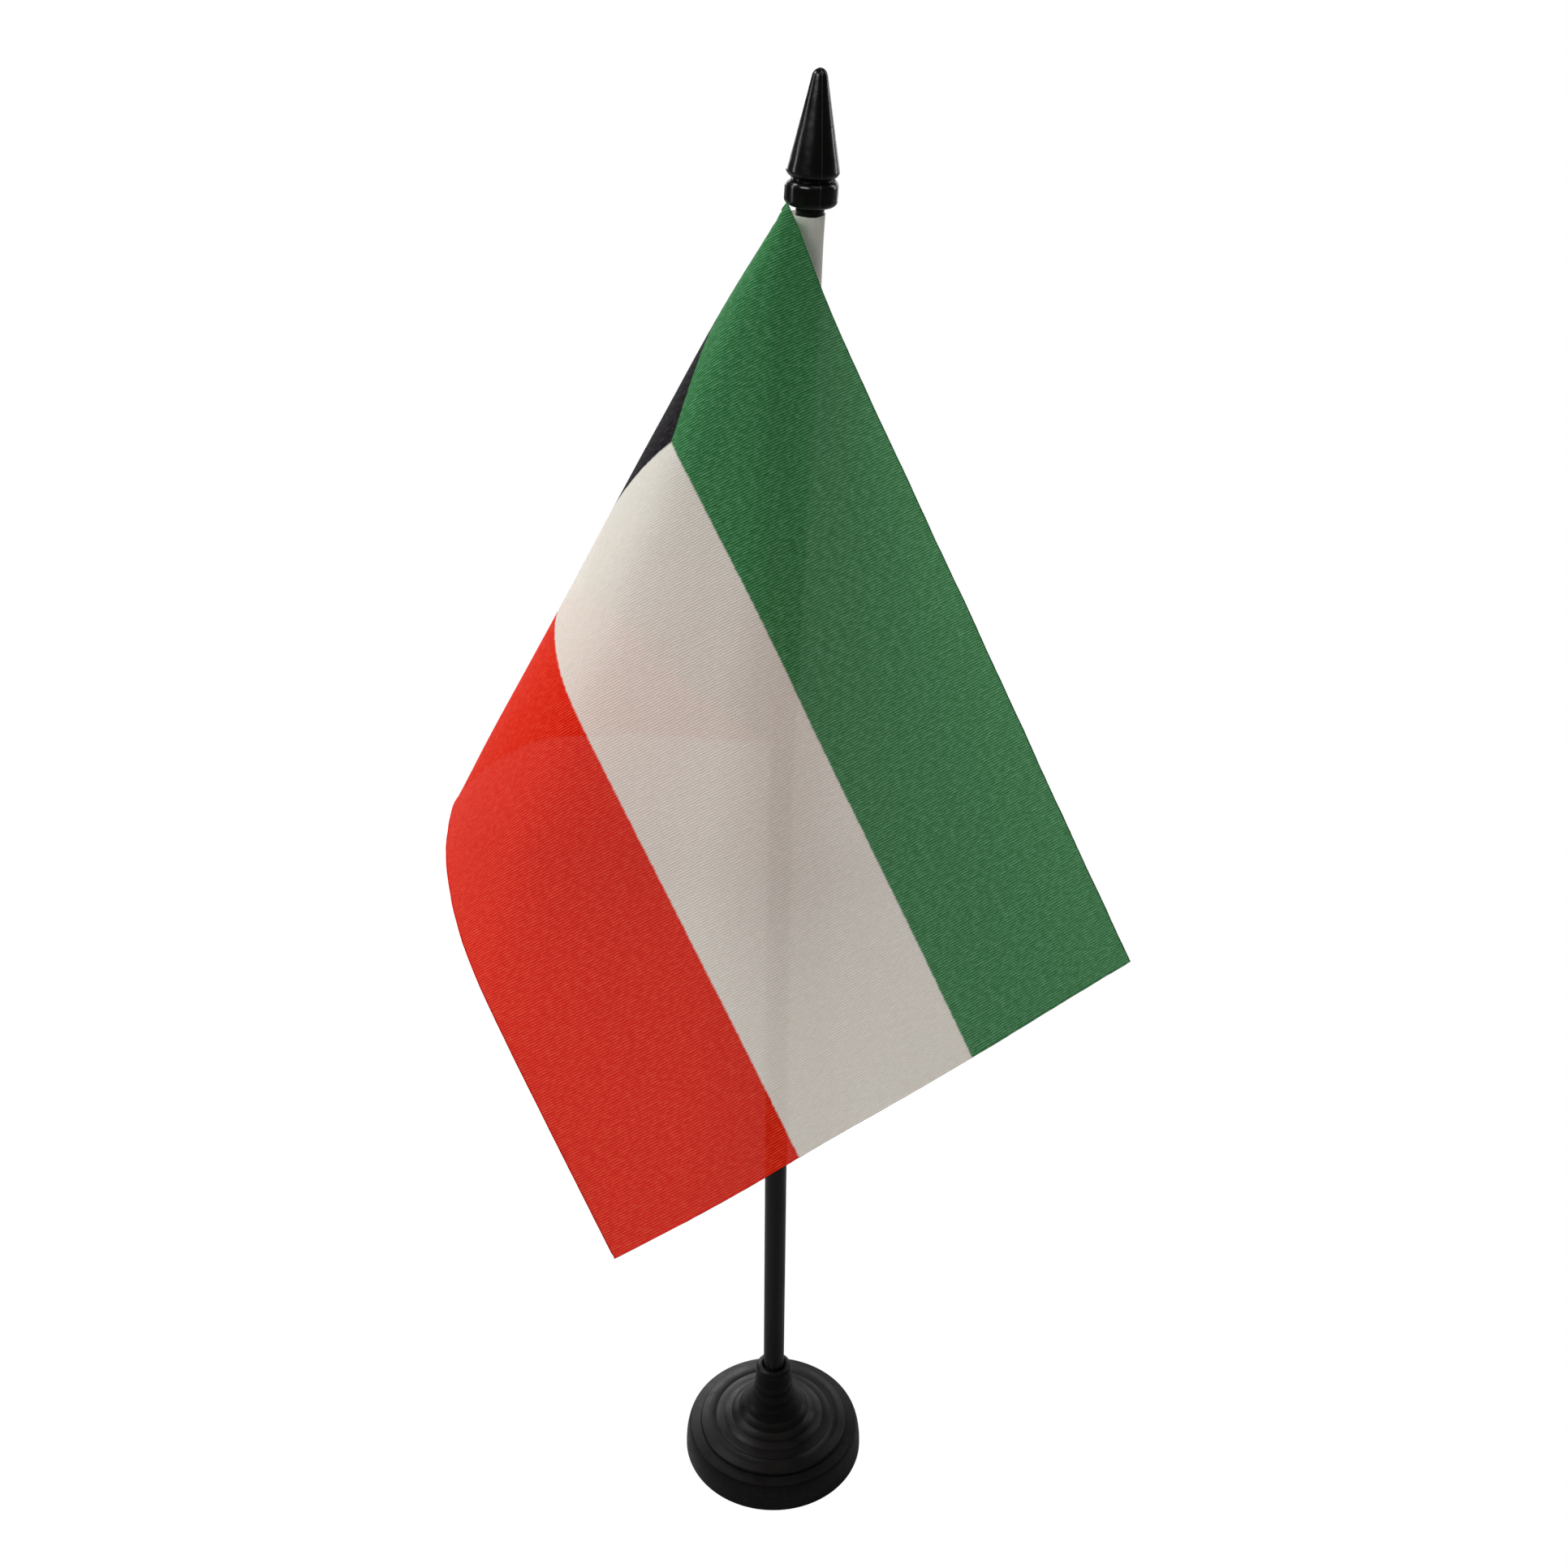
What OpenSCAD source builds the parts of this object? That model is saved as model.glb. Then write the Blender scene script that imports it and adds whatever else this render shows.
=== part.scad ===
// Desk flag stand: a hollow moulded foot with a socket, a slender hollow staff that has
// taken a slight bend, a pointed finial plugged into its top, and a 3:2 table flag whose sleeve
// slides over the staff. Millimetres, +Z up, origin on the staff's axis at the underside of the foot.

/* [Foot] */
// Diameter of the foot at the desk
base_d = 41.4; // [34:0.2:60]
// Height of the foot, from the desk to the top of the boss
base_h = 26; // [22:0.5:40]
// Wall of the moulded foot
base_wall = 1.6; // [1.2:0.1:2.4]
// Wall of the boss that holds the staff
boss_wall = 1.76; // [1.4:0.02:3]
// Height of the rounded rim flange
rim_h = 7.2; // [5:0.1:7.6]
// Height of the shoulder where the flare runs out
shoulder_h = 8.9; // [8.4:0.1:12]
// Number of concentric steps on the flare
ring_count = 9; // [3:1:12]
// Height of one step on the flare
ring_step = 0.18; // [0.1:0.02:0.4]
// Depth of the socket below the top of the boss
socket_depth = 20; // [12:0.5:21]

/* [Staff] */
// Outer diameter of the staff
pole_d = 4.7; // [3.6:0.1:5.6]
// Bore of the staff, which takes the finial's spigot
pole_bore = 2.7; // [1.6:0.1:3]
// Height of the top end of the staff above the desk
pole_top = 292; // [240:1:400]
// Height above the desk where the bend starts
bend_start = 150; // [100:1:200]
// Radius of the bend that the staff has taken
bend_radius = 2500; // [1500:10:6000]

/* [Finial] */
// Diameter of the collar
collar_d = 8.95; // [7:0.05:12]
// Height of the collar
collar_h = 4.2; // [2.4:0.1:6]
// How far the neck under the collar stands out past the staff
neck_proud = 0.07; // [0:0.01:0.5]
// Height of the neck under the collar
neck_h = 0.9; // [0.5:0.1:4]
// Largest diameter of the cone
cone_d = 8.95; // [6:0.05:12]
// Height of the cone with its rounded tip
cone_h = 17.15; // [10:0.05:30]
// Radius of the rounded tip
tip_r = 1.35; // [0.8:0.05:1.6]
// Length of the spigot inside the staff
spigot_l = 8; // [5:0.5:12]

/* [Flag] */
// Height of the flag along its hoist
flag_h = 100; // [80:1:140]
// Length of the flag from hoist to fly
flag_l = 150; // [120:1:200]
// Thickness of the sleeve's cloth
cloth_t = 0.24; // [0.15:0.01:0.4]
// Width of the welded hem beside the staff
hem_w = 1.4; // [0.8:0.1:3]
// Half thickness of the hanging cloth, as an angle seen from the fan's point
cloth_half_angle = 0.1; // [0.08:0.02:0.2]

/* [Clearances] */
// Radial clearance between staff and socket
socket_clear = 0.04; // [0.02:0.01:0.1]
// Radial clearance between spigot and staff bore
spigot_clear = 0.04; // [0.02:0.01:0.1]
// Radial clearance between sleeve and staff, beyond the staff's bend
sleeve_clear = 0.08; // [0.05:0.01:0.2]
// Gap between the sleeve's upper end and the finial's neck
sleeve_gap = 0.5; // [0.3:0.1:2]
// Gap between the finial's neck and the end of the staff
seat_gap = 0.02; // [0.01:0.01:0.1]

/* [Hidden] */
// How far a cut runs past the face that it opens
cut = 0.02;
// Sides of the turned pieces, the staff, its socket and bore, its bend over a whole turn, and the sleeve
turned_fn = 96;
socket_fn = 64;
bore_fn = 48;
bend_fn = 720;
sleeve_fn = 72;

// ---- Staff: straight up to bend_start, then a circular arc towards +X ----
pole_foot = base_h - socket_depth;
function pole_x(z) = z < bend_start ? 0
    : bend_radius - sqrt(bend_radius * bend_radius - (z - bend_start) * (z - bend_start));
bend_angle = asin((pole_top - bend_start) / bend_radius);

// ---- Foot: the outline of the moulding, from the boss down to the desk ----
base_r = base_d / 2;
socket_r = pole_d / 2 + socket_clear;
boss_r = socket_r + boss_wall;
boss_round = 1.3;
mouth_w = 0.4;
mouth_depth = 0.9;
boss_h = 4.5;
neck_z = base_h - boss_h;
flare_inset = 5.2;
flare_r = base_r - flare_inset;
flare_steps = 4;
ring_arc = 150;
shoulder_inset = 3.4;
shoulder_r = base_r - shoulder_inset;
shoulder_round = 0.7;
shoulder_drop = 0.35;
flange_bulge = 1.4;
foot_round = 0.5;
foot_w = base_wall + 0.3;
flange_thick = base_wall + 1.6;
tube_gap = 0.3;
// A point on the flare: a quarter ellipse from the boss, hollow side up, at angle t, pushed out by out
function flare_point(t, out) = [
    flare_r - (flare_r - boss_r - out) * cos(t),
    neck_z - (neck_z - shoulder_h - out) * sin(t)];
// The stepped flare: each ring bulges out by one step, then drops back
flare_outline = [for (ring = [0 : ring_count - 1], i = [0 : flare_steps])
    flare_point((ring + i / flare_steps) * 90 / ring_count, ring_step * sin(i * ring_arc / flare_steps))];
boss_outline = [for (t = [90 : -18 : 0])
    [boss_r - boss_round + boss_round * cos(t), base_h - boss_round + boss_round * sin(t)]];
shoulder_outline = [for (t = [60 : -20 : -20])
    [shoulder_r - shoulder_round + shoulder_round * cos(t),
     shoulder_h - 2 * shoulder_round + shoulder_round * (1 + sin(t)) - shoulder_drop]];
flange_outline = [for (t = [80 : -10 : 0])
    [base_r - flange_bulge + flange_bulge * cos(t), foot_round + (rim_h - foot_round) * sin(t)]];
foot_outline = [for (t = [0 : -30 : -90])
    [base_r - foot_round + foot_round * cos(t), foot_round + foot_round * sin(t)]];
tube_r = socket_r + base_wall;
// The hollow under the foot, one wall inside the outline
hollow_outline = concat(
    [[tube_r, -cut], [base_r - foot_w, -cut], [base_r - foot_w, rim_h - flange_thick]],
    [[shoulder_r - base_wall, rim_h - base_wall]],
    [for (t = [84 : -12 : 12]) each let (p = flare_point(t, -base_wall))
        p[0] > tube_r + tube_gap ? [p] : []],
    [[tube_r, flare_hollow_top()]]);
function flare_hollow_top() =
    let (t = acos((flare_r - tube_r - tube_gap) / (flare_r - boss_r + base_wall)))
    flare_point(t, -base_wall)[1];

// ---- Sleeve: a straight tube about the bent staff's mean line ----
sleeve_top = pole_top - sleeve_gap;
sleeve_low = sleeve_top - flag_h;
sleeve_lean = atan2(pole_x(sleeve_top) - pole_x(sleeve_low), flag_h);
sleeve_mid = (sleeve_top + sleeve_low) / 2;
chord_mid_x = (pole_x(sleeve_top) + pole_x(sleeve_low)) / 2;
bend_rise = chord_mid_x - pole_x(sleeve_mid);
sleeve_x = pole_x(sleeve_top) - bend_rise / 2;
sleeve_bore_r = pole_d / 2 + bend_rise / 2 + sleeve_clear;
sleeve_r = sleeve_bore_r + cloth_t;
hem_x = sleeve_r + hem_w;
hem_t = 2 * cloth_t;

// ---- Cloth: a fan of straight lines from one point of the top edge, joined to the hoist ----
// The fan's point on the flat flag, as a distance along the top edge from the hoist
fan_u = 11;
// The fan's point in space, from the hoist's upper corner: left, towards the front, and up
fan_at = [-0.7, -7.6, 3.4];
// Directions that the fan passes through, as [angle to the right, angle to the front] in degrees
// from straight down: up out of the back, round the fold on the left, and across the front
drape = [[-13, 1], [-16, 2.5], [-23, 6.5], [-28, 18], [-22, 28.5], [-4.5, 31.5], [8, 29],
    [18.5, 25.5], [30, 19.5]];
drape_steps = 8;
// Catmull-Rom curve through the list, with t from 0 to its number of spans
function end_index(i) = max(0, min(len(drape) - 1, i));
function drape_at(t) = let (i = min(floor(t), len(drape) - 2), u = t - i,
    a = drape[end_index(i - 1)], b = drape[i], c = drape[i + 1], d = drape[end_index(i + 2)])
    0.5 * (2 * b + (c - a) * u + (2 * a - 5 * b + 4 * c - d) * u * u
        + (3 * b - a - 3 * c + d) * u * u * u);
function direction(p) = [sin(p[0]) * cos(p[1]), -sin(p[1]), -cos(p[0]) * cos(p[1])];
drape_t = [for (i = [0 : (len(drape) - 1) * drape_steps]) i / drape_steps];
drape_dirs = [for (t = drape_t) direction(drape_at(t))];
// The cloth doesn't stretch, so an angle turned on the drape is the same angle on the flat flag
function turned(i) = i == 0 ? 0
    : turned(i - 1) + 2 * asin(norm(drape_dirs[i] - drape_dirs[i - 1]) / 2);
drape_turn = [for (i = [0 : len(drape_t) - 1]) turned(i)];
fan_first = 90 - drape_turn[len(drape_t) - 1];
turn_table = [for (i = [0 : len(drape_t) - 1]) [fan_first + drape_turn[i], drape_t[i]]];
// Direction in space of the line that leaves the fan's point at angle from the hoist, on the flat
function cloth_dir(angle) = direction(drape_at(lookup(angle, turn_table)));
// Half the angle over which the cloth's normal is taken
normal_step = 0.5;
function cloth_normal(angle) = let (n = cross(cloth_dir(angle),
    cloth_dir(min(90, angle + normal_step)) - cloth_dir(max(fan_first, angle - normal_step))))
    n / norm(n);
corner_angle = atan2(flag_l - fan_u, flag_h);
function cloth_reach(angle) = angle < corner_angle ? flag_h / cos(angle)
    : (flag_l - fan_u) / sin(angle);
// Depth at which the solid starts below the top edge, and its half thickness at the hoist
cloth_start = 4;
hoist_half_t = 0.15;
// Number of lines in the flat part beside the hoist, up to the fly's lower corner, and along the fly
back_lines = 5;
fold_lines = 24;
fly_lines = 14;
fan_lines = [
    for (i = [0 : fold_lines - 1]) fan_first + i * (corner_angle - fan_first) / fold_lines,
    for (i = [0 : fly_lines]) corner_angle + i * (90 - corner_angle) / fly_lines];

module base() {
    color([0.13, 0.125, 0.125]) difference() {
        rotate_extrude($fn = turned_fn) difference() {
            polygon(concat([[0, base_h]], boss_outline, flare_outline, shoulder_outline,
                flange_outline, foot_outline, [[0, 0]]));
            polygon(hollow_outline);
            square([tube_r + cut, pole_foot - base_wall]);
        }
        translate([0, 0, pole_foot]) cylinder(r = socket_r, h = socket_depth + cut, $fn = socket_fn);
        translate([0, 0, base_h - mouth_depth])
            cylinder(r1 = socket_r, r2 = socket_r + mouth_w, h = mouth_depth + cut, $fn = socket_fn);
    }
}

// A round bar along the staff's centre line, from height z0 up to the staff's top end
module along_staff(d, z0, fn) {
    translate([0, 0, z0]) cylinder(d = d, h = bend_start - z0, $fn = fn);
    translate([bend_radius, 0, bend_start]) mirror([1, 0, 0]) rotate([90, 0, 0])
        rotate_extrude(angle = bend_angle, $fn = bend_fn) translate([bend_radius, 0]) circle(d = d, $fn = fn);
}

module pole() {
    color([0.1, 0.095, 0.1]) difference() {
        union() along_staff(pole_d, pole_foot, socket_fn);
        union() along_staff(pole_bore, pole_foot - cut, bore_fn);
    }
}

// Outline of a turned disc with rounded edges, from height z0 to z1
function disc_outline(r, z0, z1, edge) = concat(
    [for (t = [-90 : 15 : 0]) [r - edge + edge * cos(t), z0 + edge + edge * sin(t)]],
    [for (t = [0 : 15 : 90]) [r - edge + edge * cos(t), z1 - edge + edge * sin(t)]]);

// ---- Finial: heights above the staff's end, and the rounding of each edge ----
collar_round = 0.95;
groove_z = neck_h + collar_h;
groove_h = 0.3;
groove_depth = 1.1;
cone_z = groove_z + groove_h;
cone_round = 1.25;
spigot_r = pole_bore / 2 - spigot_clear;
spigot_round = 0.3;
neck_r = pole_d / 2 + neck_proud;
tip_z = cone_z + cone_h - tip_r;
// The cone's side touches both the rounding at its foot and the rounded tip, at this angle
cone_inset = cone_d / 2 - cone_round;
cone_rise = tip_z - cone_z - cone_round;
cone_side = acos((tip_r - cone_round) / norm([cone_inset, cone_rise])) - atan2(cone_rise, cone_inset);
finial_outline = concat(
    [[0, -spigot_l], [spigot_r - spigot_round, -spigot_l], [spigot_r, spigot_round - spigot_l]],
    [[spigot_r, seat_gap], [neck_r, seat_gap], [neck_r, neck_h]],
    disc_outline(collar_d / 2, neck_h, groove_z, collar_round),
    [[collar_d / 2 - groove_depth, groove_z], [collar_d / 2 - groove_depth, cone_z]],
    [for (t = [-90 : 15 : 0]) [cone_inset + cone_round * cos(t), cone_z + cone_round * (1 + sin(t))]],
    [for (i = [0 : 6]) let (t = cone_side + i * (90 - cone_side) / 6) [tip_r * cos(t), tip_z + tip_r * sin(t)]]);

module finial() {
    color([0.08, 0.075, 0.08]) translate([pole_x(pole_top), 0, pole_top]) rotate([0, bend_angle, 0])
        rotate_extrude($fn = turned_fn) polygon(finial_outline);
}

// Places what hangs on the sleeve: its axis is local Z, with the origin at the sleeve's upper end
module on_sleeve() {
    translate([sleeve_x, 0, sleeve_top]) rotate([0, sleeve_lean, 0]) children();
}

module flag_sleeve() {
    tangent = acos((sleeve_r - hem_t / 2) / hem_x);
    color([0.93, 0.92, 0.9]) on_sleeve() translate([0, 0, -flag_h]) difference() {
        union() {
            cylinder(r = sleeve_r, h = flag_h, $fn = sleeve_fn);
            linear_extrude(flag_h) polygon([
                [-sleeve_r * cos(tangent), -sleeve_r * sin(tangent)],
                [-hem_x, -hem_t / 2], [-hem_x, hem_t / 2],
                [-sleeve_r * cos(tangent), sleeve_r * sin(tangent)]]);
        }
        translate([0, 0, -cut]) cylinder(r = sleeve_bore_r, h = flag_h + 2 * cut, $fn = sleeve_fn);
    }
}

// The hanging flag: one thin closed solid, flat from the hoist to the fan's first line
module flag_cloth() {
    spread = tan(cloth_half_angle);
    // The four corners of the solid's section along one line: upper back and front, lower back and front
    function fan_line(angle) = [for (reach = [cloth_start, cloth_reach(angle)], side = [-1, 1])
        fan_at + reach * (cloth_dir(angle) + side * spread * cloth_normal(angle))];
    hoist_line = [for (depth = [cloth_start, flag_h], side = [-1, 1])
        [0, side * hoist_half_t, -depth]];
    first_line = fan_line(fan_first);
    lines = concat(
        [for (i = [0 : back_lines - 1]) let (w = i / back_lines) (1 - w) * hoist_line + w * first_line],
        [for (angle = fan_lines) fan_line(angle)]);
    points = [for (line = lines) each line];
    corner = [0, 1, 3, 2];
    walls = [for (i = [0 : len(lines) - 2], k = [0 : 3], half = [0, 1]) let (
        a = 4 * i + corner[k], b = 4 * i + corner[(k + 1) % 4])
        half == 0 ? [a, b, b + 4] : [a, b + 4, a + 4]];
    last = 4 * (len(lines) - 1);
    ends = [[0, 3, 1], [0, 2, 3], [last, last + 1, last + 3], [last, last + 3, last + 2]];
    color([0.24, 0.4, 0.27]) on_sleeve() translate([-hem_x, 0, 0])
        polyhedron(points = points, faces = concat(walls, ends));
}

base();
pole();
finial();
flag_sleeve();
flag_cloth();
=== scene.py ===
import math

import bpy
from mathutils import Matrix, Vector, noise


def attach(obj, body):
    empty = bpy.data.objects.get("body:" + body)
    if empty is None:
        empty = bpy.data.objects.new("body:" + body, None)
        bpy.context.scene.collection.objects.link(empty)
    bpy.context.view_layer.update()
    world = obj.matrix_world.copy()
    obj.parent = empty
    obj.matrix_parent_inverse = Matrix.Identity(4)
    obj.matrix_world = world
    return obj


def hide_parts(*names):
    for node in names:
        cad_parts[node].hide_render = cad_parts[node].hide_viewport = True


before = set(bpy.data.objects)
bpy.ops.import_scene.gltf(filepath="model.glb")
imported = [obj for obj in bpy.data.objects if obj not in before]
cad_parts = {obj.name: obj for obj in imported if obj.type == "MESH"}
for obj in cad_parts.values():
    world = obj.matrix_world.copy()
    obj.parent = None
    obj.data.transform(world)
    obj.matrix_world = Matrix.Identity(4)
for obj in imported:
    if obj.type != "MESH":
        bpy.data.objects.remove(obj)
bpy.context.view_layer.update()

MM = 0.001
QUARTER_TURN = math.pi / 2
FULL_TURN = 2 * math.pi

# ---- Sizes in metres, the same as in the CAD model ----
BASE_R = 20.7 * MM
BASE_H = 26 * MM
POLE_D = 4.7 * MM
POLE_TOP = 292 * MM
BEND_START = 150 * MM
BEND_RADIUS = 2500 * MM
FLAG_H = 100 * MM
FLAG_L = 150 * MM
CLOTH_T = 0.24 * MM
HEM_W = 1.4 * MM
SLEEVE_CLEAR = 0.08 * MM
SLEEVE_GAP = 0.5 * MM


def smooth(value, low, high):
    """0 below low, 1 above high, and a smooth step in between."""
    w = min(max((value - low) / (high - low), 0.0), 1.0)
    return w * w * (3 - 2 * w)


def pole_x(z):
    """How far the bent staff's centre line stands to the right at height z."""
    rise = max(0.0, z - BEND_START)
    return BEND_RADIUS - math.sqrt(BEND_RADIUS * BEND_RADIUS - rise * rise)


BEND_ANGLE = math.asin((POLE_TOP - BEND_START) / BEND_RADIUS)
SLEEVE_TOP = POLE_TOP - SLEEVE_GAP
SLEEVE_LOW = SLEEVE_TOP - FLAG_H
SLEEVE_LEAN = math.atan2(pole_x(SLEEVE_TOP) - pole_x(SLEEVE_LOW), FLAG_H)
# How far the staff bows away from the straight sleeve round it
BEND_RISE = (pole_x(SLEEVE_TOP) + pole_x(SLEEVE_LOW)) / 2 - pole_x((SLEEVE_TOP + SLEEVE_LOW) / 2)
SLEEVE_X = pole_x(SLEEVE_TOP) - BEND_RISE / 2
SLEEVE_BORE_R = POLE_D / 2 + BEND_RISE / 2 + SLEEVE_CLEAR
SLEEVE_R = SLEEVE_BORE_R + CLOTH_T
HEM_X = SLEEVE_R + HEM_W
# The sleeve's own frame has its origin on the axis at the upper end, and its -Z runs down the sleeve
ON_SLEEVE = Matrix.Translation((SLEEVE_X, 0, SLEEVE_TOP)) @ Matrix.Rotation(SLEEVE_LEAN, 4, "Y")
# The hoist's frame has its origin where the hem meets the flag's upper corner
ON_HOIST = ON_SLEEVE @ Matrix.Translation((-HEM_X, 0, 0))
# The finial's frame stands on the staff's tilted upper end
ON_FINIAL = Matrix.Translation((pole_x(POLE_TOP), 0, POLE_TOP)) @ Matrix.Rotation(BEND_ANGLE, 4, "Y")

# ---- The drape: the flag leaves the hoist flat, then turns about one point of its top edge ----
# That point is FAN_U along the top edge of the flat flag, and hangs at FAN_AT in the hoist's frame
FAN_U = 11 * MM
FAN_AT = Vector((-0.7, -7.6, 3.4)) * MM
# Directions that the cloth's straight lines pass through, as degrees to the right and to the front
DRAPE = ((-13, 1), (-16, 2.5), (-23, 6.5), (-28, 18), (-22, 28.5), (-4.5, 31.5), (8, 29), (18.5, 25.5),
         (30, 19.5))
DRAPE_STEPS = 32
# Close to that point the cloth is drawn a little to the right
PEAK_PULL = Vector((1.3, 0, 0.1)) * MM
PEAK_SPREAD = 14 * MM


def drape_direction(t):
    """Unit direction at t along the Catmull-Rom curve through DRAPE."""
    last = len(DRAPE) - 1
    i = min(int(t), last - 1)
    w = t - i
    a, b, c, d = (Vector(DRAPE[max(0, min(last, k))]) for k in range(i - 1, i + 3))
    right, front = 0.5 * (2 * b + (c - a) * w + (2 * a - 5 * b + 4 * c - d) * w * w
                          + (3 * b - a - 3 * c + d) * w ** 3)
    right, front = math.radians(right), math.radians(front)
    return Vector((math.sin(right) * math.cos(front), -math.sin(front), -math.cos(right) * math.cos(front)))


DRAPE_DIRS = [drape_direction(i / DRAPE_STEPS) for i in range((len(DRAPE) - 1) * DRAPE_STEPS + 1)]
# The angle that the cloth has turned through at each of those directions
TURNED = [0.0]
for before, after in zip(DRAPE_DIRS, DRAPE_DIRS[1:]):
    TURNED.append(TURNED[-1] + before.angle(after))
# On the flat flag, the angle between the hoist and the first straight line of the fan
FAN_FIRST = QUARTER_TURN - TURNED[-1]


def cloth_direction(angle):
    """Direction of the line that leaves the fan's point at angle from the hoist on the flat flag."""
    turn = min(max(angle - FAN_FIRST, 0.0), TURNED[-1])
    i = min(int(turn / TURNED[-1] * (len(TURNED) - 1)), len(TURNED) - 2)
    while i > 0 and TURNED[i] > turn:
        i -= 1
    while i < len(TURNED) - 2 and TURNED[i + 1] < turn:
        i += 1
    w = (turn - TURNED[i]) / (TURNED[i + 1] - TURNED[i])
    return DRAPE_DIRS[i].lerp(DRAPE_DIRS[i + 1], w).normalized()


def cloth_point(u, v):
    """Where the point u from the hoist and v below the top edge of the flat flag hangs."""
    first_u = FAN_U + v * math.tan(FAN_FIRST)
    if u < first_u:
        reach = v / math.cos(FAN_FIRST)
        spot = Vector((0, 0, -v)).lerp(FAN_AT + reach * cloth_direction(FAN_FIRST), u / first_u)
    else:
        reach = math.hypot(u - FAN_U, v)
        spot = FAN_AT + reach * cloth_direction(math.atan2(u - FAN_U, v))
    near_peak = math.exp(-((math.hypot(u - FAN_U, v) / PEAK_SPREAD) ** 2)) * smooth(u, 0, FAN_U)
    return ON_HOIST @ spot + near_peak * PEAK_PULL


# ---- Node graphs ----
def plain(red, green, blue):
    return (red, green, blue, 1.0)


class Graph:
    """The node graph of a material or world, with a short method for each kind of node that it needs."""

    def __init__(self, owner):
        owner.use_nodes = True
        self.owner = owner
        self.tree = owner.node_tree
        self.tree.nodes.clear()

    def node(self, kind, inputs=None, **settings):
        """Adds a node. An input that is another node's output is linked, and any other is a value."""
        made = self.tree.nodes.new(kind)
        for key, value in settings.items():
            setattr(made, key, value)
        for key, value in (inputs or {}).items():
            if isinstance(value, bpy.types.NodeSocket):
                self.tree.links.new(value, made.inputs[key])
            else:
                made.inputs[key].default_value = value
        return made

    def math(self, operation, a, b=0.0, c=0.0):
        return self.node("ShaderNodeMath", {0: a, 1: b, 2: c}, operation=operation).outputs[0]

    def add(self, a, b):
        return self.math("ADD", a, b)

    def subtract(self, a, b):
        return self.math("SUBTRACT", a, b)

    def multiply(self, a, b):
        return self.math("MULTIPLY", a, b)

    def wave(self, phase):
        """Swings between 0 and 1, once for each 1 that phase grows by."""
        return self.math("MULTIPLY_ADD", self.math("SINE", self.multiply(phase, FULL_TURN)), 0.5, 0.5)

    def ramp(self, value, low, high, to_low=0.0, to_high=1.0):
        """A smooth step: to_low where value is low, and to_high where it is high."""
        return self.node("ShaderNodeMapRange", {0: value, 1: low, 2: high, 3: to_low, 4: to_high},
                         interpolation_type="SMOOTHSTEP").outputs[0]

    def mix(self, factor, a, b):
        return self.node("ShaderNodeMix", {0: factor, 6: a, 7: b}, data_type="RGBA").outputs[2]

    def mix_shader(self, factor, a, b):
        return self.node("ShaderNodeMixShader", {0: factor, 1: a, 2: b}).outputs[0]

    def noise(self, vector, scale, detail=2.0, roughness=0.5):
        return self.node("ShaderNodeTexNoise", {
            "Vector": vector, "Scale": scale, "Detail": detail, "Roughness": roughness}).outputs[0]

    def stretched(self, vector, scale):
        return self.node("ShaderNodeVectorMath", {0: vector, 1: scale}, operation="MULTIPLY").outputs[0]

    def split(self, vector):
        return self.node("ShaderNodeSeparateXYZ", {0: vector}).outputs

    def bump(self, height, distance, strength=1.0, normal=None):
        inputs = {"Height": height, "Distance": distance, "Strength": strength}
        if normal:
            inputs["Normal"] = normal
        return self.node("ShaderNodeBump", inputs).outputs[0]

    def finish(self, shader, output="ShaderNodeOutputMaterial"):
        """Makes shader the surface, and returns the material or world."""
        self.node(output, {"Surface": shader})
        return self.owner


# ---- Black moulded plastic ----
# Noise scales here and in the cloth are counted per metre
CLOUD_SCALE = 160.0
DUST_SCALE = 1900.0
GRAIN_SCALE = 5200.0
GRAIN_HEIGHT = 0.012 * MM
MARK_HEIGHT = 0.1 * MM
FLOW_LIGHTER = 1.35
# Pale colour for wear on the foot and staff, and for the painted highlight along the finial's parting line
PALE_WEAR_AND_HIGHLIGHT = plain(0.09, 0.085, 0.08)
DUSTY = plain(0.35, 0.33, 0.3)
PLASTIC_IOR = 1.49


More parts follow.
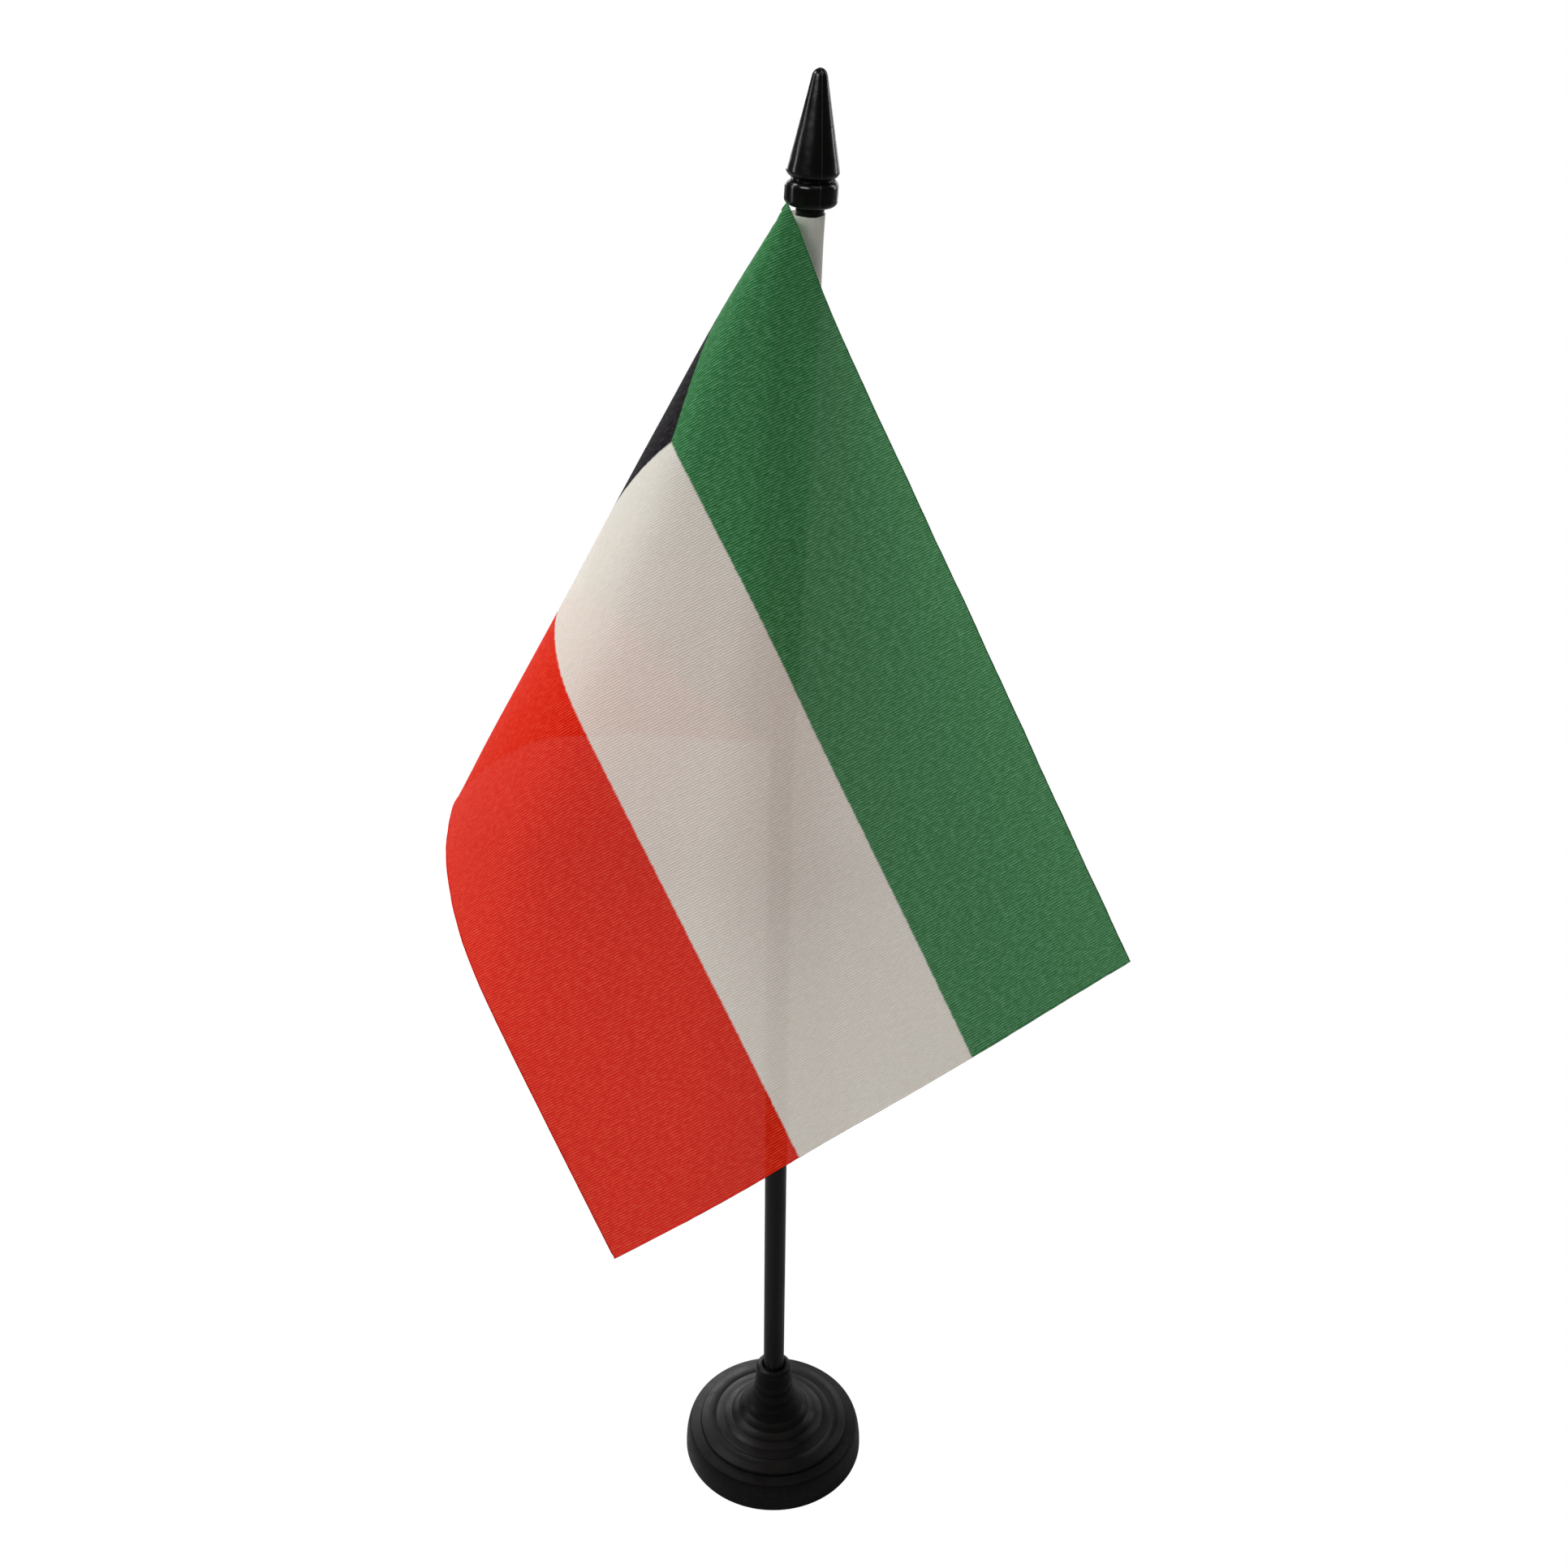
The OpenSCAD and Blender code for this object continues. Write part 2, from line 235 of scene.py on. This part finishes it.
def moulded_plastic(name, colour, marks, roughness, gloss, own_frame=None):
    """Black plastic with fine grain, faint flow marks and a little dust, and with the piece's own marks.

    marks(graph, place) gives their relief, how much they change the roughness, and where they are paler:
    wear on the foot and the staff, and a painted highlight along the finial's parting line.
    own_frame is the piece's frame where it is tilted.
    """
    graph = Graph(bpy.data.materials.new(name))
    place = graph.node("ShaderNodeTexCoord").outputs["Object"]
    if own_frame:
        back = own_frame.inverted()
        place = graph.node("ShaderNodeMapping", {
            "Vector": place, "Location": back.to_translation(), "Rotation": back.to_euler()}).outputs[0]
    relief, rougher, pale_marks = marks(graph, place)
    cloudy = graph.noise(place, CLOUD_SCALE, detail=4.0, roughness=0.6)
    grain = graph.noise(place, GRAIN_SCALE, roughness=0.55)
    dust = graph.ramp(graph.noise(place, DUST_SCALE, detail=3.0, roughness=0.7), 0.68, 0.78)
    lighter = plain(*(FLOW_LIGHTER * c for c in colour))
    tint = graph.mix(graph.ramp(cloudy, 0.3, 0.7), plain(*colour), lighter)
    # Paler with wear on the foot and staff, and a painted highlight along the finial's parting line
    tint = graph.mix(graph.multiply(pale_marks, 0.5), tint, PALE_WEAR_AND_HIGHLIGHT)
    tint = graph.mix(graph.multiply(dust, 0.12), tint, DUSTY)
    rough = graph.ramp(cloudy, 0.25, 0.75, roughness - 0.05, roughness + 0.08)
    rough = graph.add(graph.add(rough, rougher), graph.multiply(dust, 0.2))
    normal = graph.bump(grain, GRAIN_HEIGHT, 0.6, graph.bump(relief, MARK_HEIGHT))
    return graph.finish(graph.node("ShaderNodeBsdfPrincipled", {
        "Base Color": tint, "Roughness": rough, "Normal": normal, "IOR": PLASTIC_IOR,
        "Specular IOR Level": gloss}).outputs[0])


RING_PITCH = 0.32 * MM
BLOTCH_SCALE = 420.0
RIM_WEAR_W = 1.1 * MM
RIM_WEAR_SCALE = 900.0


def base_marks(graph, place):
    """Fine rings from the turned mould, faint blotches, and wear round the rim."""
    x, y, z = graph.split(place)
    radius = graph.math("SQRT", graph.add(graph.multiply(x, x), graph.multiply(y, y)))
    outwards = graph.add(radius, graph.multiply(z, 0.6))
    rings = graph.math("SINE", graph.multiply(outwards, FULL_TURN / RING_PITCH))
    blotch = graph.noise(place, BLOTCH_SCALE, detail=3.0, roughness=0.6)
    relief = graph.add(graph.multiply(rings, 0.02), graph.multiply(blotch, 0.18))
    patches = graph.noise(place, RIM_WEAR_SCALE, detail=3.0, roughness=0.7)
    pale_marks = graph.multiply(graph.ramp(radius, BASE_R - RIM_WEAR_W, BASE_R),
                          graph.ramp(patches, 0.5, 0.8, 0.0, 0.3))
    return relief, graph.ramp(blotch, 0.3, 0.7, -0.03, 0.05), pale_marks


# The marks are drawn out along the staff: their rate of change there, as a share of that across it
LINE_STRETCH = (1.0, 1.0, 0.012)
SCUFF_STRETCH = (1.0, 1.0, 0.15)
LINE_SCALE = 2600.0
SCUFF_SCALE = 1500.0
# The scuffs begin at one height and are full from the other down
SCUFF_TOP = BASE_H + 8 * MM
SCUFF_FULL = BASE_H - 2 * MM


def pole_marks(graph, place):
    """Draw lines along the extruded staff, and scuffs where it slides in the socket."""
    lines = graph.noise(graph.stretched(place, LINE_STRETCH), LINE_SCALE, detail=3.0, roughness=0.6)
    streaks = graph.noise(graph.stretched(place, SCUFF_STRETCH), SCUFF_SCALE, detail=3.0, roughness=0.6)
    height = graph.split(place)[2]
    pale_marks = graph.multiply(graph.ramp(height, SCUFF_TOP, SCUFF_FULL), graph.ramp(streaks, 0.5, 0.75))
    return graph.multiply(lines, 0.22), graph.ramp(lines, 0.3, 0.7, -0.04, 0.08), pale_marks


SEAM_TURN = math.radians(19)
# Half widths of the parting line at its foot and at its crest
SEAM_FOOT = 0.13 * MM
SEAM_CREST = 0.04 * MM
SINK_SCALE = 260.0


def finial_marks(graph, place):
    """The mould's parting line, a little right of the front, and faint sink marks."""
    x, y, _ = graph.split(place)
    across = graph.add(graph.multiply(x, math.cos(SEAM_TURN)), graph.multiply(y, math.sin(SEAM_TURN)))
    seam = graph.ramp(graph.math("ABSOLUTE", across), SEAM_FOOT, SEAM_CREST)
    sink = graph.noise(place, SINK_SCALE)
    relief = graph.add(graph.multiply(seam, 0.6), graph.multiply(sink, 0.9))
    # The parting line is also painted paler: a painted highlight along it
    return relief, graph.multiply(seam, -0.02), graph.multiply(seam, 0.35)


# ---- Thin ribbed polyester ----
GREEN = plain(0.072, 0.260, 0.104)
WHITE = plain(0.82, 0.785, 0.72)
HANDLED_WHITE = plain(0.74, 0.735, 0.69)
RED = plain(0.78, 0.036, 0.012)
BLACK = plain(0.022, 0.019, 0.024)
RIB_PITCH = 0.42 * MM
THREAD_PITCH = 0.3 * MM
WEAVE_HEIGHT = 0.05 * MM
# Painted shade: how much darker the colour is between the ribs; painted highlight: how much paler it is on
# them; and how uneven the yarn's own tone is
GAP_PAINTED_SHADE = 0.42
RIB_PAINTED_HIGHLIGHT = 0.22
YARN_UNEVEN = 0.12
# How much of the cloth's colour is lost from light that passes between the yarn
GAP_CLEAR = 0.28
YARN_STRETCH = (1.0, 0.5, 1.0)
YARN_SCALE = 1700.0
UNEVEN_SCALE = 420.0
HANDLED_SCALE = 90.0
# How far the ink creeps into the yarn, and half the width of its soft edge
INK_CREEP = 0.35 * MM
INK_SOFT = 0.22 * MM
INK_SCALE = 1800.0


def ribbed_weave(graph, flat):
    """The weave's height, from 0 to 1, and its yarn noise. The ribs run along the hoist.

    flat is the place on the flat cloth, across the ribs and then along them.
    """
    u, v, _ = graph.split(flat)
    yarn = graph.noise(graph.stretched(flat, YARN_STRETCH), YARN_SCALE, roughness=0.6)
    patch = graph.noise(flat, UNEVEN_SCALE, detail=3.0, roughness=0.6)
    rib_phase = graph.add(graph.math("DIVIDE", u, RIB_PITCH), graph.multiply(yarn, 0.5))
    rib = graph.wave(rib_phase)
    # The threads of each rib lie half a pitch off those of the rib before it
    stagger = graph.multiply(graph.math("FLOOR", rib_phase), 0.5)
    thread = graph.wave(graph.add(graph.math("DIVIDE", v, THREAD_PITCH), stagger))
    dent = graph.multiply(graph.ramp(patch, 0.25, 0.75, 0.2, 0.5), graph.subtract(1.0, thread))
    return graph.multiply(rib, graph.subtract(1.0, dent)), yarn


def printed_colour(graph, flat):
    """The print: three equal bands, and a black trapezium that narrows away from the hoist."""
    speckle = graph.node("ShaderNodeTexNoise", {
        "Vector": flat, "Scale": INK_SCALE, "Detail": 2.0}).outputs[1]
    bled = graph.node("ShaderNodeMix", {0: INK_CREEP, 4: flat, 5: speckle}, data_type="VECTOR").outputs[1]
    u, v, _ = graph.split(bled)
    third = FLAG_H / 3
    colour = graph.mix(graph.ramp(v, third - INK_SOFT, third + INK_SOFT), GREEN, WHITE)
    colour = graph.mix(graph.ramp(v, 2 * third - INK_SOFT, 2 * third + INK_SOFT), colour, RED)
    # The black reaches a quarter of the flag's length, and each of its slanting edges crosses one band
    black_u = FLAG_L / 4
    slope = black_u / third
    upper_end = graph.multiply(v, slope)
    lower_end = graph.multiply(graph.subtract(FLAG_H, v), slope)
    reach = graph.math("MINIMUM", graph.math("MINIMUM", upper_end, lower_end), black_u)
    return graph.mix(graph.ramp(graph.subtract(reach, u), -INK_SOFT, INK_SOFT), colour, BLACK)


def unprinted(graph, flat):
    """Undyed white cloth, a little greyer where it has been handled."""
    handled = graph.noise(flat, HANDLED_SCALE, detail=3.0, roughness=0.6)
    return graph.mix(graph.ramp(handled, 0.3, 0.7), WHITE, HANDLED_WHITE)


def cloth_material(name, colour_of, see_through, translucent, relief=1.0, darker=1.0):
    """Matt cloth with a faint sheen, which lets light through its yarn and a little between it.

    see_through is the share of light that passes between the yarn, and translucent the share of the
    yarn that glows from behind. relief is how deep the weave is, and how strong its painted shade between
    the ribs and painted highlight on them are, and darker deepens the colour.
    """
    graph = Graph(bpy.data.materials.new(name))
    flat = graph.node("ShaderNodeAttribute", attribute_name="flat",
                      attribute_type="GEOMETRY").outputs["Vector"]
    height, yarn = ribbed_weave(graph, flat)
    colour = colour_of(graph, flat)
    # Painted shade between the ribs and a painted highlight on them, as a gamma on the colour, plus the
    # yarn's uneven tone
    rib_shade_and_yarn_tone = graph.ramp(height, 0.0, 1.0, 1 + GAP_PAINTED_SHADE * relief, 1 - RIB_PAINTED_HIGHLIGHT * relief)
    rib_shade_and_yarn_tone = graph.add(rib_shade_and_yarn_tone, graph.ramp(yarn, 0.3, 0.7, YARN_UNEVEN, -YARN_UNEVEN))
    colour = graph.node("ShaderNodeGamma", {0: colour, 1: graph.multiply(rib_shade_and_yarn_tone, darker)}).outputs[0]
    normal = graph.bump(height, WEAVE_HEIGHT, 0.8 * relief)
    cloth = graph.node("ShaderNodeBsdfPrincipled", {
        "Base Color": colour, "Roughness": graph.ramp(height, 0.0, 1.0, 0.9, 0.75), "Normal": normal,
        "Specular IOR Level": 0.10, "Sheen Weight": 0.03, "Sheen Roughness": 0.5}).outputs[0]
    glow = graph.node("ShaderNodeBsdfTranslucent", {0: colour, "Normal": normal}).outputs[0]
    passed = graph.mix(GAP_CLEAR, colour, plain(1, 1, 1))
    clear = graph.node("ShaderNodeBsdfTransparent", {0: passed}).outputs[0]
    gaps = graph.ramp(height, 0.0, 0.7, see_through * 1.5, see_through * 0.7)
    return graph.finish(graph.mix_shader(gaps, graph.mix_shader(translucent, cloth, glow), clear))


# ---- Pieces ----
def add_object(name, data):
    made = bpy.data.objects.new(name, data)
    bpy.context.scene.collection.objects.link(made)
    return made


def assign(node, material):
    """Gives a CAD node one material in place of its own."""
    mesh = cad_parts[node].data
    mesh.materials.clear()
    mesh.materials.append(material)


def add_cloth(name, spots, faces, flats, material):
    """A smooth cloth piece. flats holds each point's place on the flat cloth, for the weave and print."""
    mesh = bpy.data.meshes.new(name)
    mesh.from_pydata(spots, [], faces)
    attribute = mesh.attributes.new("flat", "FLOAT_VECTOR", "POINT")
    attribute.data.foreach_set("vector", [c for u, v in flats for c in (u, v, 0.0)])
    for face in mesh.polygons:
        face.use_smooth = True
    mesh.materials.append(material)
    return add_object(name, mesh)


def grid_faces(rows, columns, flip=False):
    """The quads of a grid whose points are listed row by row. flip turns them to face the other way."""
    width = columns + 1
    faces = [(k, k + width, k + width + 1, k + 1)
             for row in range(rows) for k in range(row * width, row * width + columns)]
    return [(a, d, c, b) for a, b, c, d in faces] if flip else faces


# ---- Flag sheet ----
GRID = 1.0 * MM
COLUMNS = round(FLAG_L / GRID)
ROWS = round(FLAG_H / GRID)
ROW_POINTS = COLUMNS + 1
# How far the waves and the puckers stand off the drape, and how far in from a cut edge the puckers reach
WAVE = 0.35 * MM
SMALL_WAVE = 0.10 * MM
PUCKER = 0.14 * MM
PUCKER_W = 3 * MM


def ripple(u, v):
    """How far the cloth stands off its smooth drape: slow waves, and small puckers along the cut edges."""
    free = smooth(u, 8 * MM, 40 * MM) * smooth(math.hypot(u - FAN_U, v), 12 * MM, 50 * MM)
    slow = WAVE * noise.noise(Vector((u * 28, v * 34, 1.7)))
    slow += SMALL_WAVE * noise.noise(Vector((u * 90, v * 70, 6.1)))
    edge = min(v, FLAG_H - v, FLAG_L - u)
    pucker = PUCKER * (1 - smooth(edge, 0, PUCKER_W)) * noise.noise(Vector((u * 260, v * 260, 3.3)))
    return free * (slow + pucker)


def draped_flag():
    """The sheet's points, row by row down the hoist, and each one's place on the flat flag."""
    flats = [(FLAG_L * i / COLUMNS, FLAG_H * j / ROWS) for j in range(ROWS + 1) for i in range(ROW_POINTS)]
    spots = [cloth_point(u, v) for u, v in flats]
    moved = []
    for k, (u, v) in enumerate(flats):
        j, i = divmod(k, ROW_POINTS)
        along = spots[k + (i < COLUMNS)] - spots[k - (i > 0)]
        down = spots[k + (j < ROWS) * ROW_POINTS] - spots[k - (j > 0) * ROW_POINTS]
        moved.append(spots[k] + ripple(u, v) * along.cross(down).normalized())
    return moved, flats


EDGE_R = 0.1 * MM
EDGE_SIDES = 6
EDGE_UNEVEN = 0.35


def build_edge(spots, flats, material):
    """The bead of fused yarn along the top, fly and bottom edges, a closed thin tube."""
    path = list(range(1, ROW_POINTS)) + [j * ROW_POINTS + COLUMNS for j in range(1, ROWS + 1)]
    path += [ROWS * ROW_POINTS + i for i in range(COLUMNS - 1, 0, -1)]
    last = len(path) - 1
    rings, places = [], []
    for n, k in enumerate(path):
        tangent = (spots[path[min(n + 1, last)]] - spots[path[max(n - 1, 0)]]).normalized()
        side = tangent.orthogonal().normalized()
        up = tangent.cross(side)
        radius = EDGE_R * (1 + EDGE_UNEVEN * noise.noise(Vector((n * 0.9, 4.2, 0))))
        for s in range(EDGE_SIDES):
            a = FULL_TURN * s / EDGE_SIDES
            rings.append(spots[k] + radius * (math.cos(a) * side + math.sin(a) * up))
            places.append(flats[k])
    faces = []
    for n in range(last):
        here, there = n * EDGE_SIDES, (n + 1) * EDGE_SIDES
        for s in range(EDGE_SIDES):
            beside = (s + 1) % EDGE_SIDES
            faces.append((here + s, here + beside, there + beside, there + s))
    faces += [tuple(range(EDGE_SIDES - 1, -1, -1)), tuple(range(last * EDGE_SIDES, len(rings)))]
    return add_cloth("flag_edge", rings, faces, places, material)


# ---- Sleeve: one strip of cloth folded round the staff and joined along the hem ----
HEM_STEPS = 8
ROUND_STEPS = 56
SLEEVE_ROWS = 100
# How far the sleeve wrinkles, how uneven its upper end is, and how far down that reaches
WRINKLE = 0.07 * MM
RAGGED = 0.12 * MM
RAGGED_H = 4 * MM


def sleeve_section():
    """The strip seen from its end, from the hem's back edge round the staff to its front edge."""
    radius = (SLEEVE_BORE_R + SLEEVE_R) / 2
    tangent = math.acos((radius - CLOTH_T / 2) / HEM_X)
    arc = FULL_TURN - 2 * tangent

    def on_round(angle):
        return Vector((-radius * math.cos(angle), radius * math.sin(angle)))

    hem_edge = Vector((-HEM_X, CLOTH_T / 2))
    hem = [hem_edge.lerp(on_round(tangent), s / HEM_STEPS) for s in range(HEM_STEPS)]
    round_part = [on_round(tangent + arc * s / ROUND_STEPS) for s in range(ROUND_STEPS + 1)]
    return hem + round_part + [Vector((p.x, -p.y)) for p in reversed(hem)]


def build_sleeve(material):
    """The sleeve, loose round the staff and a little ragged at its upper end, and the strip's width."""
    section = sleeve_section()
    lengths = [0.0]
    for p, q in zip(section, section[1:]):
        lengths.append(lengths[-1] + (q - p).length)
    spots, places = [], []
    for row in range(SLEEVE_ROWS + 1):
        v = FLAG_H * row / SLEEVE_ROWS
        for p, length in zip(section, lengths):
            loose = smooth(p.x + HEM_X, 0.3 * MM, 1.6 * MM)
            off = loose * WRINKLE * (noise.noise(Vector((p.x * 300, p.y * 300, v * 120))) + 0.35)
            top = RAGGED * noise.noise(Vector((p.x * 500, p.y * 500, 9))) * (1 - smooth(v, 0, RAGGED_H))
            outward = p.normalized() * off
            spots.append(ON_SLEEVE @ Vector((p.x + outward.x, p.y + outward.y, -v + top * loose)))
            places.append((length, v))
    faces = grid_faces(SLEEVE_ROWS, len(section) - 1, flip=True)
    return add_cloth("sleeve_sheet", spots, faces, places, material), lengths[-1]


# ---- The model ----
assign("base", moulded_plastic(
    "satin_black_foot", (0.0036, 0.0033, 0.0031), base_marks, roughness=0.38, gloss=0.13))
assign("pole", moulded_plastic(
    "satin_black_tube", (0.0042, 0.0036, 0.0037), pole_marks, roughness=0.40, gloss=0.20))
assign("finial", moulded_plastic(
    "gloss_black_finial", (0.0020, 0.0018, 0.0018), finial_marks, roughness=0.20, gloss=0.24,
    own_frame=ON_FINIAL))

flag_print = cloth_material(
    "printed_flag_cloth", printed_colour, see_through=0.040, translucent=0.50)
fused_print = cloth_material(
    "fused_cloth_edge", printed_colour, see_through=0.0, translucent=0.1, darker=1.4)
sleeve_white = cloth_material(
    "sleeve_white_cloth", unprinted, see_through=0.02, translucent=0.15, relief=0.3)

flag_spots, flag_flats = draped_flag()
flag_sheet = add_cloth("flag_sheet", flag_spots, grid_faces(ROWS, COLUMNS), flag_flats, flag_print)
flag_edge = build_edge(flag_spots, flag_flats, fused_print)
sleeve_sheet, sleeve_girth = build_sleeve(sleeve_white)

for piece, node, slot in ((flag_sheet, "flag_cloth", "flag_cloth"), (flag_edge, None, "flag_cloth"),
                          (sleeve_sheet, "flag_sleeve", "sleeve_cloth")):
    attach(piece, "flag")
    if node:
        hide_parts(node)


# ---- Stage: pale floor and room, soft lights mostly from the left and from behind, and the camera ----
def white_to_the_camera(graph, lit):
    """A shader that the camera sees as clean white, while everything else sees lit."""
    seen = graph.node("ShaderNodeLightPath").outputs["Is Camera Ray"]
    clean = graph.node("ShaderNodeEmission", {0: plain(1, 1, 1), 1: 1.0}).outputs[0]
    return graph.mix_shader(seen, lit, clean)


# The floor is a wide square that lies a hair below the foot
FLOOR_HALF = 3.0
FLOOR_Z = -0.2 * MM
FLOOR_GREY = plain(0.42, 0.42, 0.42)

floor_look = Graph(bpy.data.materials.new("pale_floor"))
floor_lit = floor_look.node("ShaderNodeBsdfDiffuse", {0: FLOOR_GREY}).outputs[0]
floor_mesh = bpy.data.meshes.new("floor")
floor_corners = [(x * FLOOR_HALF, y * FLOOR_HALF, FLOOR_Z) for x, y in ((-1, -1), (1, -1), (1, 1), (-1, 1))]
floor_mesh.from_pydata(floor_corners, [], [(0, 1, 2, 3)])
floor_mesh.materials.append(floor_look.finish(white_to_the_camera(floor_look, floor_lit)))
floor = add_object("floor", floor_mesh)

ROOM_COLOUR = plain(1.0, 0.98, 0.95)
ROOM_STRENGTH = 0.11

room = Graph(bpy.data.worlds.new("studio"))
room_lit = room.node("ShaderNodeBackground", {0: ROOM_COLOUR, 1: ROOM_STRENGTH}).outputs[0]
bpy.context.scene.world = room.finish(white_to_the_camera(room, room_lit), "ShaderNodeOutputWorld")

# Each light's name, place, the point it faces, its width and height, and its power in watts
CENTRE = (0, 0, 0.16)
LIGHTS = (
    ("key_left", (-0.50, 0.02, 0.70), (0, 0, 0.2), (0.16, 0.16), 2.9),
    ("top_left", (-0.08, -0.13, 0.39), (-0.01, -0.01, 0.26), (0.10, 0.06), 0.22),
    ("strip_left", (-0.72, 0.0, 0.40), CENTRE, (0.05, 0.5), 1.2),
    ("strip_right", (0.55, 0.30, 0.42), CENTRE, (0.06, 0.6), 1.3),
    ("fill_above", (0.30, -0.45, 1.0), CENTRE, (0.5, 0.4), 1.0),
    ("back_glow", (-0.35, 0.85, 0.45), CENTRE, (0.7, 0.7), 8.0),
    ("back_right", (0.40, 0.80, 0.30), CENTRE, (0.5, 0.5), 1.6),
)
for name, place, aim, size, power in LIGHTS:
    lamp = bpy.data.lights.new(name, "AREA")
    lamp.shape = "RECTANGLE"
    lamp.size, lamp.size_y = size
    lamp.energy = power
    light = add_object(name, lamp)
    light.location = place
    light.rotation_euler = (Vector(aim) - Vector(place)).to_track_quat("-Z", "Y").to_euler()

CAMERA_AT = (0.00083, -0.3267, 0.3709)
CAMERA_TILT = math.radians(60)
CAMERA_ROLL = math.radians(0.66)

camera_data = bpy.data.cameras.new("camera")
camera_data.sensor_width = 36
camera_data.lens = 44.72
camera_data.clip_start = 0.01
camera = add_object("camera", camera_data)
camera.matrix_world = (Matrix.Translation(CAMERA_AT) @ Matrix.Rotation(CAMERA_TILT, 4, "X")
                       @ Matrix.Rotation(CAMERA_ROLL, 4, "Z"))
bpy.context.scene.camera = camera
bpy.context.scene.view_settings.view_transform = "Standard"
